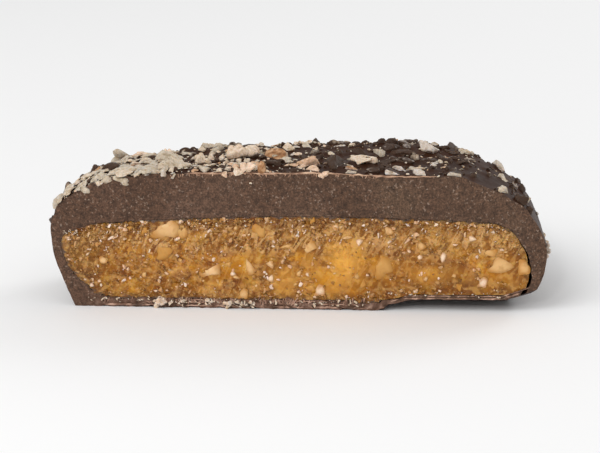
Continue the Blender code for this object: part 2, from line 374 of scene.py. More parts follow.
def seatNuts(found):
    draw = random.Random(nutScatter["seed"] + 1)
    lean = nutScatter["lean"]
    seats = []
    for spot, direction, size, stretch in found:
        for _ in range(nutScatter["corners"]):      # here the solids draw the corners of the piece
            draw.uniform(-0.4, 0.4)
            draw.uniform(0.78, 1.0)
        half = size / 2
        flat = draw.uniform(*nutScatter["flatness"])
        scale = Matrix.Diagonal((half * stretch**0.5, half / stretch**0.5, half * flat, 1))
        tilt = Matrix.Rotation(draw.uniform(-lean, lean), 4, "X")
        spin = Matrix.Rotation(draw.uniform(0, math.tau), 4, "Z")
        stand = direction.to_track_quat("Z", "Y").to_matrix().to_4x4()
        seat = Matrix.Translation(spot + direction * half * nutScatter["rise"])
        seats.append(seat @ stand @ spin @ tilt @ scale)
    return seats


nuts = scatterNuts()
seats = seatNuts(nuts)
nutTree = kdtree.KDTree(len(nuts))
for index, (spot, *_) in enumerate(nuts):
    nutTree.insert(spot, index)
nutTree.balance()
print("scene: pecans placed:", len(nuts))

coat = {
    "counts": (280, 76, 84),            # divisions along, back and up
    "cavityCounts": (300, 8, 60),
    "swell": 0.10, "fine": 0.012,       # waves and ripples of poured chocolate
    "meniscus": 0.22,                   # how far the chocolate climbs round a pecan piece
    "felt": 3.4, "fade": 0.45,          # how far off a piece is felt, and how fast that fades
    "highest": 0.45,
    "drag": 0.05, "broad": 0.07, "grain": 0.035,      # roughness of the knife cut
    "foot": -0.97,                      # level of the block below which the chocolate lies flat
    "coreGap": 0.04,
    "torn": 0.28,                       # unevenness of the toffee's edge
    "tear": 0.28, "nick": 0.9,          # roughness of the thin skin under the toffee
}


# chocolate wets the foot of each pecan piece and stands up round it
def climb(point):
    rise = 0.0
    for _, index, distance in nutTree.find_range(point, coat["felt"]):
        reach = 0.5 * nuts[index][2]
        far = max(0.0, distance - 0.8 * reach)
        rise += coat["meniscus"] * min(1.0, reach) * math.exp(-(far / coat["fade"]) ** 2)
    return min(rise, coat["highest"])


def pourCoat(point):
    wave = noise.noise(point / 1.9 + Vector((7, 0, 0))) + 0.6 * noise.noise(point / 0.9)
    ripple = noise.noise(point / 0.35)
    return point + outward(point) * (coat["swell"] * wave * 0.6 + climb(point) + coat["fine"] * ripple)


def cutGrain(x, z):
    slant = x * 0.96 + z * 0.28
    drag = waver(slant / 0.55, z / 6.0, 4.0)
    broad = waver(x / 5.0, z / 4.0, 9.0)
    grit = waver(x / 0.5, z / 0.5, 2.0)
    return coat["drag"] * drag + coat["broad"] * broad + coat["grain"] * grit


def makeCoat():
    block = dividedBlock("chocolateCoat", coat["counts"])
    flags = [(round(v.co.x, 6), round(v.co.y, 6), round(v.co.z, 6)) for v in block.data.vertices]
    formBlock(block, coatForm)
    for vert, (p, y, z) in zip(block.data.vertices, flags):
        onCut = y == -1
        rim = abs(p) == 1 or abs(z) == 1
        if z > coat["foot"] and (not onCut or rim):
            moved = pourCoat(vert.co.copy())
            vert.co = vert.co.lerp(moved, min(1.0, (z - coat["foot"]) / 0.1))
        if onCut:
            spot = vert.co.copy()
            low = ease(1.5, 0.7, spot.z) * ease(-27, -23, spot.x)
            tear = waver(spot.x / 0.8, spot.z / 0.6, 51.0) + 0.5 * noise.noise(spot / 0.3)
            vert.co.y = cutY - cutGrain(spot.x, spot.z) * (0.4 if rim else 1.0) - coat["tear"] * low * tear
            if z == -1:
                nick = max(0.0, waver(spot.x / 1.1, 0, 55.0) + 0.3 * waver(spot.x / 0.3, 0, 57.0))
                vert.co.z += coat["nick"] * nick * low
    return block


# the broken edge of the toffee runs unevenly where the knife tore it
def tornEdge(spot):
    away = Vector((spot.x - clamp(spot.x, -21.0, 21.0), 0, spot.z - clamp(spot.z, 5.0, 7.5)))
    if away.length < 1e-6:
        return away
    uneven = waver(spot.x / 1.6, spot.z / 1.6, 31.0)
    uneven += 0.6 * waver(spot.x / 0.55, spot.z / 0.55, 33.0)
    lower = mix(0.5, 1.6, ease(3.5, 2.0, spot.z))
    return away.normalized() * uneven * coat["torn"] * lower * ease(4.0, 0.5, spot.y - cutY)


def makeCavity():
    cavity = dividedBlock("cavity", coat["cavityCounts"])
    formBlock(cavity, coreForm, grow=coat["coreGap"], pull=3.0)
    carve(cavity, chipTool(chip["skin"], 0.05))
    return cavity


chip = {
    "counts": (160, 40, 10),
    "rise": 1.5, "depth": 5.0,                               # of the broken face, behind the cut
    "front": 4.0, "low": -6.0,                               # how far the tool reaches out and down
    "profile": ((10.0, 0.0), (24.8, 0.15), (35.0, 5.2)),     # along the bar, and how much higher it gets
    "step": 1.0, "slant": 0.9,                               # how steeply its left end rises
    "skin": 0.55, "gap": 0.07,                               # chocolate left under the toffee
    "splitCounts": (6, 24, 90),                              # crack along the toffee's right end
    "splitLevels": (0.13, 0.76), "splitWidth": 0.34, "splitDepth": 3.0,
    "pits": ((0.0, 0.42, 0.24), (-27.1, 4.3, 0.30)),         # x, height and radius of a bubble and a torn pit
}


# height of the broken face under the cut
def chipTop(x, y):
    (x0, h0), (x1, h1), (x2, h2) = chip["profile"]
    higher = mix(h0, h1, ease(x0, x1, x)) if x < x1 else mix(h1, h2, (x - x1) / (x2 - x1))
    higher -= chip["step"] * ease(x0 + 3.6, x0 - 0.6, x)
    slope = chip["rise"] / chip["depth"]
    back = cutY + chip["depth"]
    share = (y - cutY + chip["front"]) / (chip["depth"] + chip["front"])
    return slope * (back - y) + higher * mix(1.0, 0.4, share)


# the piece that broke off under the right of the cut; its broken face is rough
def chipTool(raised, rough=0.12):
    tool = dividedBlock("chip", chip["counts"])
    left, right = chip["profile"][0][0], chip["profile"][-1][0]
    front, back = cutY - chip["front"], cutY + chip["depth"]
    for vert in tool.data.vertices:
        u, v, w = (vert.co.x + 1) / 2, (vert.co.y + 1) / 2, (vert.co.z + 1) / 2
        y = mix(front, back, v)
        x = mix(left - 0.2 + 1.2 * v - 1.2 * raised, right, u)
        z = mix(chip["low"], raised + chipTop(x, y), w)
        x += chip["slant"] * clamp(z - raised, 0.0, 1.5) * (1 - u)
        bump = waver(x / 1.4, y / 1.4, z / 1.4) + 0.5 * noise.noise(Vector((x, y, z)) / 0.4)
        vert.co = (x + 2.5 * rough * bump * (u < 0.02), y, z + rough * bump * (w == 1))
    return tool


# the crack that parts the toffee from the coat follows the toffee's edge
def splitTool():
    tool = dividedBlock("split", chip["splitCounts"])
    low, high = chip["splitLevels"]
    for vert in tool.data.vertices:
        w = (vert.co.z + 1) / 2
        spot = barPoint(coreForm, 1.0, 0.0, mix(low, high, w))
        spot += tornEdge(spot)
        ragged = 1 + 0.7 * waver(vert.co.y, spot.y, spot.z / 0.7)
        wide = chip["splitWidth"] * (1 - w**4) * ragged
        spot.x += coreForm["shift"] + mix(-0.25, wide, (vert.co.x + 1) / 2)
        spot.y += chip["splitDepth"] * vert.co.y
        vert.co = spot
    return tool


def pitTool(x, z, radius):
    centre = Vector((x, cutY, z))
    tool = addBall(centre, radius)
    for vert in tool.data.vertices:
        vert.co += (vert.co - centre) * 0.35 * noise.noise(vert.co / 0.3)
    return tool


coatPiece = makeCoat()
carve(coatPiece, makeCavity())
carve(coatPiece, chipTool(0.0))
carve(coatPiece, splitTool())
for pit in chip["pits"]:
    carve(coatPiece, pitTool(*pit))
toMetres(coatPiece)
print("scene: coat made:", len(coatPiece.data.polygons), "faces")

core = {
    "counts": (300, 8, 56),
    "broad": 0.20, "waves": 0.18, "lumps": 0.15, "shards": 0.20, "fine": 0.05,   # relief, in millimetres
    "limit": 0.45,       # how far the relief stands out or in
    "lean": 0.49,        # the shards lean to the right, in radians
    "nuts": (      # x, height, width, height, tint
        (-15.7, 9.9, 3.5, 2.4, 0.70),
        (-13.9, 9.7, 1.4, 1.7, 0.50),
        (-16.2, 7.0, 2.4, 2.0, 0.20),
        (-10.5, 4.7, 2.4, 1.9, 0.82),
        (-7.8, 4.5, 0.7, 0.6, 1.00),
        (-5.8, 5.4, 1.1, 2.1, 0.72),
        (-4.4, 9.9, 1.7, 1.7, 0.36),
        (-1.3, 8.0, 1.5, 0.6, 0.55),
        (1.4, 7.8, 2.1, 1.8, 0.66),
        (1.3, 4.5, 0.6, 0.5, 1.00),
        (7.6, 8.6, 1.1, 1.1, 0.98),
        (6.0, 9.2, 1.5, 0.5, 0.85),
        (10.4, 5.6, 2.6, 2.7, 0.34),
        (10.9, 10.2, 1.4, 0.9, 0.84),
        (14.9, 8.4, 0.9, 1.1, 0.66),
        (17.6, 6.9, 0.7, 1.3, 1.00),
        (21.1, 9.2, 1.3, 1.0, 0.97),
        (23.1, 7.6, 1.9, 1.5, 0.45),
        (24.6, 6.0, 3.1, 2.4, 0.66),
        (27.4, 5.8, 1.3, 1.7, 0.60),
        (-23.6, 5.9, 0.9, 0.9, 0.80),
        (-6.5, 1.9, 1.0, 1.2, 0.70),
        (2.8, 2.5, 1.1, 1.3, 0.98),
    ),
    "fragments": (60, 0.35, 1.1),     # how many smaller bits of pecan, smallest and largest
    "glow": (      # clear amber patches, with the light glowing through them painted: x, height, width, height, strength
        (5.8, 6.3, 1.9, 2.5, 1.0), (-0.8, 3.8, 3.4, 1.8, 0.35), (16.0, 4.6, 3.5, 1.2, 0.25),
    ),
}


# the edge of the broken face, to tell how far a place is from it
def coreOutline():
    walls = [(side, n / 60) for side in (-1.0, 1.0) for n in range(61)]
    spots = [barPoint(coreForm, side, 0.0, level) for side, level in walls]
    spots += [barPoint(coreForm, n / 150 - 1, 0.0, level) for level in (0.0, 1.0) for n in range(301)]
    tree = kdtree.KDTree(len(spots))
    for index, spot in enumerate(spots):
        tree.insert((spot.x + coreForm["shift"], 0, spot.z), index)
    tree.balance()
    return tree


coreEdge = coreOutline()


def edgeGap(x, z):
    return coreEdge.find((x, 0, z))[2]


# where the broken face is calm, torn, near its edge or glowing
def toffeeZones(x, z):
    middle = math.exp(-((z - 4.2) / 2.6) ** 2) * ease(-15, -6, x)      # calmest low in the middle
    calm = ease(0.22, 0.62, waver(x / 2.8, z / 2.0, 21.0) + 0.55 * middle - 0.35 * ease(7.5, 9.5, z))
    torn = ease(6.2, 8.8, z + 1.2 * waver(x / 2.2, z / 2.2, 5.0))
    gap = edgeGap(x, z)
    edge = ease(1.1, 0.1, gap + 0.5 * waver(x / 0.9, z / 0.9, 15.0))
    edge = max(edge, 0.8 * ease(-21.0, -27.0, x + 1.5 * waver(x, z, 2.0)))
    glow = 0.0
    for glowX, glowZ, wide, high, strength in core["glow"]:
        glow = max(glow, strength * math.exp(-((x - glowX) / wide) ** 2 - ((z - glowZ) / high) ** 2))
    return calm * (1 - edge), torn, edge, glow


# 1 on a pecan piece that the knife cut through
def onCutNut(x, z):
    share = 0.0
    for nutX, nutZ, wide, high, _ in core["nuts"]:
        if abs(x - nutX) < wide and abs(z - nutZ) < high:
            far = ((x - nutX) / (0.5 * wide)) ** 2 + ((z - nutZ) / (0.5 * high)) ** 2
            share = max(share, ease(1.5, 0.9, far))
    return share


# 0 in the gaps between lumps, about 0.25 inside them
def lumpHeight(x, z, seed):
    return 0.5 + 0.5 * noise.noise(Vector((x, z, seed)), noise_basis="VORONOI_F2F1")


def toffeeRelief(x, z):
    calm, torn, _, _ = toffeeZones(x, z)
    rough = 1 - 0.8 * calm
    warp = 0.5 * waver(x / 0.9, z / 0.9, 40.0)
    stand = core["broad"] * waver(x / 3.4, z / 2.6, 1.0)
    stand += core["waves"] * waver(x / 1.3 + warp, z / 1.1, 7.0) * rough
    lump = min(1.0, 5 * lumpHeight(x / 1.2 + warp, z / 0.95 - warp, 3.0))
    stand += core["lumps"] * (lump - 0.65) * rough * (1 - 0.6 * torn)
    along = x * math.sin(core["lean"]) + z * math.cos(core["lean"])
    side = x * math.cos(core["lean"]) - z * math.sin(core["lean"])
    shard = min(1.0, 5 * lumpHeight(side / 0.65 + 1.4 * warp, along / 2.0, 6.0))
    stand += core["shards"] * (shard - 0.65) * torn * rough
    stand += core["fine"] * waver(x / 0.28, z / 0.28, 8.0) * rough
    stand *= 1 - 0.7 * onCutNut(x, z)
    stand *= 1 - 0.6 * ease(0.5, 0.0, edgeGap(x, z))      # the knife kept its edge even
    return clamp(stand, -core["limit"], core["limit"])


def makeCore():
    block = dividedBlock("toffee", core["counts"])
    divideWhere(block, "FACE", lambda face: face.normal.y < -0.9, 1)
    onCut = [v.co.y < -0.9999 for v in block.data.vertices]
    rim = [abs(v.co.x) > 0.9999 or abs(v.co.z) > 0.9999 for v in block.data.vertices]
    formBlock(block, coreForm)
    for vert, cut, edge in zip(block.data.vertices, onCut, rim):
        if cut:
            vert.co.y -= toffeeRelief(vert.co.x, vert.co.z) * (0.5 if edge else 1.0)
    return block


# the toffee is darker towards the chip, the left end and the upper edge
def darkerShare(x, z):
    patchy = 1 + 0.8 * waver(x / 1.6, z / 1.3, 61.0)
    gap = edgeGap(x, z)
    chipSide = 0.95 * ease(5.2, 2.6, z) * ease(7, 11, x)
    leftEnd = 0.6 * ease(-18, -24, x)
    upper = 1.1 * ease(2.3, 0.6, gap) * ease(8.4, 9.8, z) * ease(22, 13, x)
    lower = 0.8 * ease(1.5, 0.3, gap) * ease(3.5, 2.5, z)
    return patchy * max(chipSide, leftEnd, upper, lower)


# tells the material how each point of the toffee broke, and where glow, shade and highlight are painted on it
def paintCore(thing):
    zones = thing.data.attributes.new("zones", "FLOAT_COLOR", "POINT")
    shades = thing.data.attributes.new("shades", "FLOAT_COLOR", "POINT")
    for vert in thing.data.vertices:
        x, z = vert.co.x, vert.co.z
        calm, torn, edge, glow = toffeeZones(x, z)
        height = cutY - vert.co.y
        # painted shade: darker in the hollows of the relief, and darker where darkerShare says
        shadeAndDarkening = max(ease(-0.02, -0.25, height), darkerShare(x, z))
        # the knife dragged tongues of chocolate over the edge, which count as edge above 1
        reach = 0.15 + 0.5 * waver(x / 0.55, z / 0.45, 71.0)
        dragged = ease(reach + 0.12, reach - 0.12, edgeGap(x, z)) * ease(26.5, 25.5, x)
        zones.data[vert.index].color = (max(calm, glow), torn, min(edge, 1.0) + dragged, 1.0)
        # the shades hold the painted glow, the painted shade with the darkening, and a painted highlight on
        # the ridges
        shades.data[vert.index].color = (glow, shadeAndDarkening, ease(0.08, 0.32, height), 1.0)


corePiece = makeCore()
carve(corePiece, chipTool(chip["skin"] + chip["gap"], 0.05))
paintCore(corePiece)
toMetres(corePiece)
print("scene: toffee made:", len(corePiece.data.polygons), "faces")

# templates for the chopped pecans, each about one unit in radius:
# how many, size of a voxel, roughness and its grain, faces, lowest and highest point
chopped = {
    "chip": (12, 0.05, 0.09, 0.32, 460, -1.0, 1.0),         # angular flesh, sometimes with a second lobe
    "flake": (12, 0.04, 0.08, 0.26, 480, -0.8, 0.45),       # flat shavings with ragged outlines
    "clump": (7, 0.05, 0.08, 0.20, 760, -1.0, 0.85),        # crumbly clusters
    "skinned": (5, 0.06, 0.06, 0.40, 280, -0.9, 0.6),       # pieces that kept their brown skin
    "lobe": (9, 0.06, 0.05, 0.50, 420, -0.9, 0.6),          # smooth pieces that melted together a little
    "bit": (12, 0.14, 0.12, 0.50, 36, -1.0, 1.0),           # low shapes for the many small crumbs
}
shapeSeed = 7
shapeDraw = random.Random(shapeSeed)


# a ball with flat sides, where the knife chopped it
def blob(place, radius, cuts, fineness=3, nearest=0.4, farthest=0.8):
    chops = []
    for _ in range(cuts):
        turn, tip = shapeDraw.uniform(0, math.tau), shapeDraw.uniform(-1, 1)
        flat = math.sqrt(1 - tip * tip)
        normal = Vector((flat * math.cos(turn), flat * math.sin(turn), tip))
        chops.append((Vector(place) + normal * radius * shapeDraw.uniform(nearest, farthest), normal))
    ball = addBall(place, radius, fineness)
    chop(ball, *chops)
    return ball


# flat lobes side by side, the first in the middle
def lobesRound(count, nearest, spread, flat, rise, radii):
    lobes = []
    for n in range(count):
        turn = shapeDraw.uniform(0, math.tau)
        out = nearest + spread * shapeDraw.random() if n else 0.0
        place = (out * math.cos(turn), flat * out * math.sin(turn), shapeDraw.uniform(-rise, rise))
        lobes.append(blob(place, shapeDraw.uniform(*radii), 4))
    return lobes


def joinAll(things, name):
    pick(*things)
    if len(things) > 1:
        bpy.ops.object.join()
    things[0].name = name
    return things[0]


# melts lobes into one skin, roughens it and thins it to a number of faces
def meltShape(shape, kind, worn):
    _, voxel, rough, grain, faces, _, _ = chopped[kind]
    remesh = shape.modifiers.new("Remesh", "REMESH")
    remesh.mode = "VOXEL"
    remesh.voxel_size = voxel
    rounding = shape.modifiers.new("Smooth", "SMOOTH")      # crumbling wears the corners
    rounding.factor = 0.5
    rounding.iterations = worn
    for size, strength in ((grain, rough), (grain * 0.4, rough * 0.5)):
        clouds = bpy.data.textures.new("clouds", "CLOUDS")
        clouds.noise_scale = size
        displace = shape.modifiers.new("Displace", "DISPLACE")
        displace.texture = clouds
        displace.strength = strength
        displace.mid_level = 0.5
    applyAll(shape)
    decimate = shape.modifiers.new("Decimate", "DECIMATE")
    triangles = sum(len(f.vertices) - 2 for f in shape.data.polygons)
    decimate.ratio = min(1.0, faces / triangles)
    applyAll(shape)
    if kind == "skinned":
        for vert in shape.data.vertices:      # the long furrows of a pecan half
            vert.co.z += 0.07 * math.sin(vert.co.y * 9) * max(0.0, vert.normal.z)


# brings a shape into the unit ball, so a seat's sizes are the piece's real sizes
def fitShape(mesh, bottom, top):
    low = [min(v.co[n] for v in mesh.vertices) for n in range(3)]
    high = [max(v.co[n] for v in mesh.vertices) for n in range(3)]
    centre = Vector([(a + b) / 2 for a, b in zip(low, high)])
    scale = Matrix.Diagonal([2 / (b - a) for a, b in zip(low, high)] + [1])
    squash = Matrix.Diagonal((1, 1, (top - bottom) / 2, 1))
    lift = Matrix.Translation((0, 0, (top + bottom) / 2))
    mesh.transform(lift @ squash @ scale @ Matrix.Translation(-centre))
    mesh.update()


# finishes a shape and gives its points, its faces' corners, their counts, and where it has brown skin
def takeShape(shape, kind, worn=2):
    meltShape(shape, kind, worn)
    mesh = shape.data
    fitShape(mesh, *chopped[kind][5:])
    points = np.empty(3 * len(mesh.vertices))
    mesh.vertices.foreach_get("co", points)
    corners = np.empty(len(mesh.loops), int)
    mesh.loops.foreach_get("vertex_index", corners)
    counts = np.empty(len(mesh.polygons), int)
    mesh.polygons.foreach_get("loop_total", counts)
    skin = [ease(0.05, 0.35, v.normal.z) if kind == "skinned" else 0.0 for v in mesh.vertices]
    bpy.data.objects.remove(shape)
    return points.reshape(-1, 3), corners, counts, skin


def makeChip(name):
    lobes = [blob((0, 0, 0), 1.0, 9, nearest=0.3, farthest=0.7)]
    for _ in range(shapeDraw.choice((0, 0, 1, 1, 2))):
        turn = shapeDraw.uniform(0, math.tau)
        place = (0.6 * math.cos(turn), 0.6 * math.sin(turn), shapeDraw.uniform(-0.3, 0.2))
        lobes.append(blob(place, shapeDraw.uniform(0.35, 0.55), 5))
    return takeShape(joinAll(lobes, name), "chip", shapeDraw.choice((6, 12, 20)))


# a thin shaving, sliced from above
def makeFlake(name):
    shape = joinAll(lobesRound(shapeDraw.choice((3, 4, 5, 6)), 0.25, 0.5, 0.75, 0.08, (0.3, 0.55)), name)
    chop(shape, ((0, 0, 0.16), (shapeDraw.uniform(-0.2, 0.2), shapeDraw.uniform(-0.2, 0.2), 1)))
    return takeShape(shape, "flake", shapeDraw.choice((6, 12)))


def makeClump(name):
    grains = []
    for _ in range(shapeDraw.choice((9, 12, 15))):
        turn, out = shapeDraw.uniform(0, math.tau), shapeDraw.uniform(0.1, 0.8)
        place = (out * math.cos(turn), out * math.sin(turn), shapeDraw.uniform(-0.3, 0.35) * (1.1 - out))
        grains.append(blob(place, shapeDraw.uniform(0.2, 0.4), 4, 2))
    return takeShape(joinAll(grains, name), "clump", 4)


# a slice off the outside of a pecan half
def makeSkinned(name):
    shape = blob((0, 0, 0), 1.0, 5)
    chop(shape, ((0, 0, -0.15), (0.15, 0, -1)), ((0, 0, 0.45), (shapeDraw.uniform(-0.4, 0.4), 0.3, 1)))
    return takeShape(joinAll([shape], name), "skinned")


def makeLobe(name):
    shape = joinAll(lobesRound(shapeDraw.choice((2, 3, 4)), 0.3, 0.4, 0.7, 0.1, (0.4, 0.6)), name)
    return takeShape(shape, "lobe", 14)


def makeBit(name):
    return takeShape(joinAll([blob((0, 0, 0), 1.0, 7, 2, nearest=0.3, farthest=0.75)], name), "bit")


makers = {
    "chip": makeChip, "flake": makeFlake, "clump": makeClump,
    "skinned": makeSkinned, "lobe": makeLobe, "bit": makeBit,
}
templates = {kind: [make(f"{kind}{n}") for n in range(chopped[kind][0])] for kind, make in makers.items()}
print("scene: pecan shapes:", {kind: [len(shape[2]) for shape in made] for kind, made in templates.items()})


# one mesh of many copies, each with its own place, tone and smear of chocolate round its foot
def scatterCopies(name, copies, softRim=False):
    points, looks, corners, counts = [], [], [], []
    start = 0
    for (shape, shapeCorners, shapeCounts, skin), matrix, tone, dip in copies:
        if softRim:      # the toffee stains it from the rim inwards
            dip = np.clip((np.hypot(shape[:, 0], shape[:, 1]) - 0.38) / 0.5, 0, 1)
        else:
            foot = np.clip((-0.05 - shape[:, 2]) / 0.55, 0, 1)
            dip = np.clip(dip + foot * foot * (3 - 2 * foot), 0, 1)
        look = np.ones((len(shape), 4))
        look[:, 0], look[:, 1], look[:, 2] = tone, skin, dip
        points.append(shape @ np.array(matrix.to_3x3()).T + np.array(matrix.translation))
        looks.append(look)
        corners.append(shapeCorners + start)
        counts.append(shapeCounts)
        start += len(shape)
    points, looks = np.concatenate(points), np.concatenate(looks)
    corners, counts = np.concatenate(corners), np.concatenate(counts)
    mesh = bpy.data.meshes.new(name)
    mesh.vertices.add(len(points))
    mesh.vertices.foreach_set("co", points.ravel())
    mesh.loops.add(len(corners))
    mesh.loops.foreach_set("vertex_index", corners)
    mesh.polygons.add(len(counts))
    mesh.polygons.foreach_set("loop_start", np.concatenate([[0], np.cumsum(counts)[:-1]]))
    mesh.update(calc_edges=True)
    mesh.attributes.new("look", "FLOAT_COLOR", "POINT").data.foreach_set("color", looks.ravel())
    return addObject(name, mesh)


# slices off what the knife took from the pieces at the cut, and leaves bare flesh there
def cutFlush(thing, proud):
    plane = cutY - proud
    chop(thing, ((0, plane, 0), (0, -1, 0)))
    look = thing.data.attributes["look"].data
    for vert in thing.data.vertices:
        if vert.co.y < plane + 0.001:
            tone, skin, _, full = look[vert.index].color
            look[vert.index].color = (tone, skin * 0.2, 0.0, full)


# seats a piece at the cut by its turn in the cut's plane and its half sizes; a flat piece can face out
def seatAtCut(place, turn, sizes, facing=False):
    spin = Matrix.Rotation(turn, 4, "Y")
    if facing:
        spin = spin @ Matrix.Rotation(math.pi / 2, 4, "X")
    return Matrix.Translation(place) @ spin @ Matrix.Diagonal((*sizes, 1))


nutLooks = {
    "seed": 101,
    "kinds": {"chip": 40, "clump": 22, "flake": 40, "skinned": 6, "lobe": 0},      # how often each is drawn
    "grow": (1.04, 1.04, 1.0, 1),      # so that they cover the solids' pieces
    "sink": 0.12,      # how far behind the cut the pieces end, so that the chocolate covers them
}


# 1 where the chocolate shows between few pieces, behind the left shoulder
def bareness(spot):
    return 0.85 * math.exp(-((spot.x + 14.0) / 4.5) ** 2 - ((spot.y - 0.5) / 6.0) ** 2)


def makeNuts():
    draw = random.Random(nutLooks["seed"])
    kinds, weights = list(nutLooks["kinds"]), list(nutLooks["kinds"].values())
    groups = {kind: [] for kind in kinds}
    for number, ((spot, direction, *_), seat) in enumerate(zip(nuts, seats)):
        kind = draw.choices(kinds, weights)[0]
        tone, filmed = draw.random(), draw.random()
        if number < len(markedNuts):
            kind, tone = markedNuts[number][5:]
            filmed = 1.0
        elif spot.x > 2:
            tone *= 0.5 * tone      # paler where there are fewer of them
        if kind == "flake" and spot.x < -12:
            kind = "lobe"
        coated = 0.6 if direction.z < 0.3 else mix(0.2, 0.85, ease(-8, 6, spot.x))
        coated = max(coated, bareness(spot))
        dip = mix(0.4, 1.0, draw.random()) if filmed < coated else 0.0
        grown = seat @ Matrix.Diagonal(nutLooks["grow"])
        groups[kind].append((draw.choice(templates[kind]), grown, tone, dip))
    made = {}
    for kind, copies in groups.items():
        made[kind] = scatterCopies("pecan" + kind.capitalize() + "s", copies)
        cutFlush(made[kind], -nutLooks["sink"])
        toMetres(made[kind])
    return made


nutPieces = makeNuts()
print("scene: pecans made:", {k: len(v.data.polygons) for k, v in nutPieces.items()})

# the many small bits and the dust between the pieces; the crust lies thick on the left shoulder
crumbs = {
    "seed": 55,
    "layers": (      # kind, how many, smallest, largest, thickness, whether it is crust
        ("lobe", 40, 1.3, 3.2, 0.30, True),
        ("chip", 60, 0.5, 1.3, 0.50, True),
        ("bit", 560, 0.45, 1.1, 0.5, False),
        ("bit", 1700, 0.16, 0.42, 0.6, False),
    ),
    "crustTones": (0.10, 0.44),
    "crowd": (0.7, 0.18),      # towards the left and the right
    "dips": ((0.0, 0.0, 0.0, 0.1, 0.9), (0.0, 0.0, 0.3, 0.6, 0.9)),      # chocolate on them, left and right
    "proud": 0.40,         # how far they may stand out of the cut
    "rim": (      # x, height, width, height, kind, tone
        (-21.2, 15.9, 2.1, 1.0, "lobe", 0.28),
        (-22.9, 16.0, 1.4, 1.1, "lobe", 0.22),
        (-23.8, 15.6, 0.9, 0.6, "chip", 0.50),
        (-25.6, 14.7, 1.6, 0.9, "lobe", 0.24),
        (-18.1, 16.7, 0.7, 0.5, "chip", 0.08),
        (-16.0, 16.9, 0.7, 0.9, "chip", 0.04),
        (-14.8, 16.6, 0.3, 0.8, "chip", 0.10),
        (-8.6, 16.9, 0.9, 0.7, "chip", 0.90),
        (-7.1, 17.3, 1.3, 1.1, "chip", 0.55),
        (-6.0, 17.8, 1.7, 1.8, "chip", 0.84),
        (-4.2, 17.7, 1.1, 1.7, "skinned", 0.95),
        (3.2, 17.0, 1.4, 0.9, "chip", 0.86),
    ),
}


def makeCrumbs():
    draw = random.Random(crumbs["seed"])
    made = []
    for kind, count, small, large, thick, crust in crumbs["layers"]:
        placed = 0
        while placed < count:
            spot = nutSpot(*drawSpot(draw))
            direction = outward(spot)
            chance, tone = draw.random(), draw.random()
            crowd = mix(*crumbs["crowd"], ease(-12, 4, spot.x))
            share = crowd * nutShare(spot, direction) * (1 - bareness(spot))
            if crust:
                share = ease(-12, -24, spot.x) * ease(0.15, 0.5, direction.z) * ease(11.0, 3.5, spot.y - cutY)
                tone = mix(*crumbs["crustTones"], tone)
            if chance > share:
                continue
            _, on, normal, _ = coatPiece.closest_point_on_mesh((spot + direction * 0.3) * mm)
            size = mix(small, large, draw.random() ** 1.8)
            spin = Matrix.Rotation(draw.uniform(0, math.tau), 4, "Z")
            stand = normal.to_track_quat("Z", "Y").to_matrix().to_4x4()
            spread = [draw.uniform(0.8, 1.4), draw.uniform(0.6, 1.0), thick * draw.uniform(0.75, 1.25)]
            scale = Matrix.Diagonal([0.5 * size * part for part in spread] + [1])
            seat = Matrix.Translation(on / mm + normal * size * 0.12) @ stand @ spin @ scale
            dip = draw.choice(crumbs["dips"][spot.x >= 2])
            made.append((draw.choice(templates[kind]), seat, tone, dip * (not crust)))
            placed += 1
    for x, z, wide, high, kind, tone in crumbs["rim"]:      # these hang over the edge of the cut
        sizes = (0.5 * wide, 0.5 * high, 0.45)
        seat = seatAtCut((x, cutY, z), draw.uniform(-0.6, 0.6), sizes, facing=True)
        made.append((draw.choice(templates[kind]), seat, tone, 0.0))
    piece = scatterCopies("pecanCrumbs", made)
    cutFlush(piece, crumbs["proud"])
    return toMetres(piece)


crumbPiece = makeCrumbs()
print("scene: crumbs made:", len(crumbPiece.data.polygons))

cutPecans = {
    "seed": 23,
    "proud": 0.04, "bulge": 0.22,      # how far the knife left them standing out, and at most beyond that
    "uneven": 0.03,
}


# pieces of pecan that the knife went through inside the toffee
def makeCutPecans():
    draw = random.Random(cutPecans["seed"])
    rows = list(core["nuts"])
    count, small, large = core["fragments"]
    while len(rows) < len(core["nuts"]) + count:
        spot = barPoint(coreForm, draw.uniform(-0.95, 0.95), 0.0, draw.uniform(0.1, 0.93))
        wide, tall, tone = mix(small, large, draw.random() ** 2), draw.uniform(0.5, 1.3), draw.random()
        gap = edgeGap(spot.x + coreForm["shift"], spot.z)
        inside = gap > 0.5 * wide * max(1, tall) + 0.1
        if onCutNut(spot.x, spot.z) == 0 and inside and spot.z > chipTop(spot.x, cutY) + 1.4:
            rows.append((spot.x + coreForm["shift"], spot.z, wide, wide * tall, tone))
    copies = []
    for x, z, wide, high, tone in rows:
        shape = draw.choice(templates["lobe" if wide > 1.4 or tone < 0.6 else "chip"])
        deep = min(0.9, 0.5 * wide)
        place = (x, cutY - toffeeRelief(x, z) + 0.2 * deep, z)
        seat = seatAtCut(place, draw.uniform(-0.6, 0.6), (0.6 * wide, 0.6 * high, deep), facing=True)
        copies.append((shape, seat, tone, 0.0))
    piece = scatterCopies("cutPecans", copies, softRim=True)
    front, bulge = cutY - cutPecans["proud"], cutPecans["bulge"]
    for vert in piece.data.vertices:      # the knife left their faces nearly flat
        proud = front - vert.co.y
        if proud > 0:
            uneven = cutPecans["uneven"] * noise.noise(vert.co / 0.4)
            vert.co.y = front - bulge * (1 - math.exp(-proud / bulge)) - uneven
    return toMetres(piece)


# crystals and crumbs of toffee left standing on the broken face; the palest are coloured as painted glints
toffeeCrumbsAndGlints = {
    "seed": 77,
    "count": 1500, "tries": 30000,
    "sizes": (0.19, 0.56),
    "sliver": (0.6, 0.5, 1.7),      # slivers stand with the shards
}


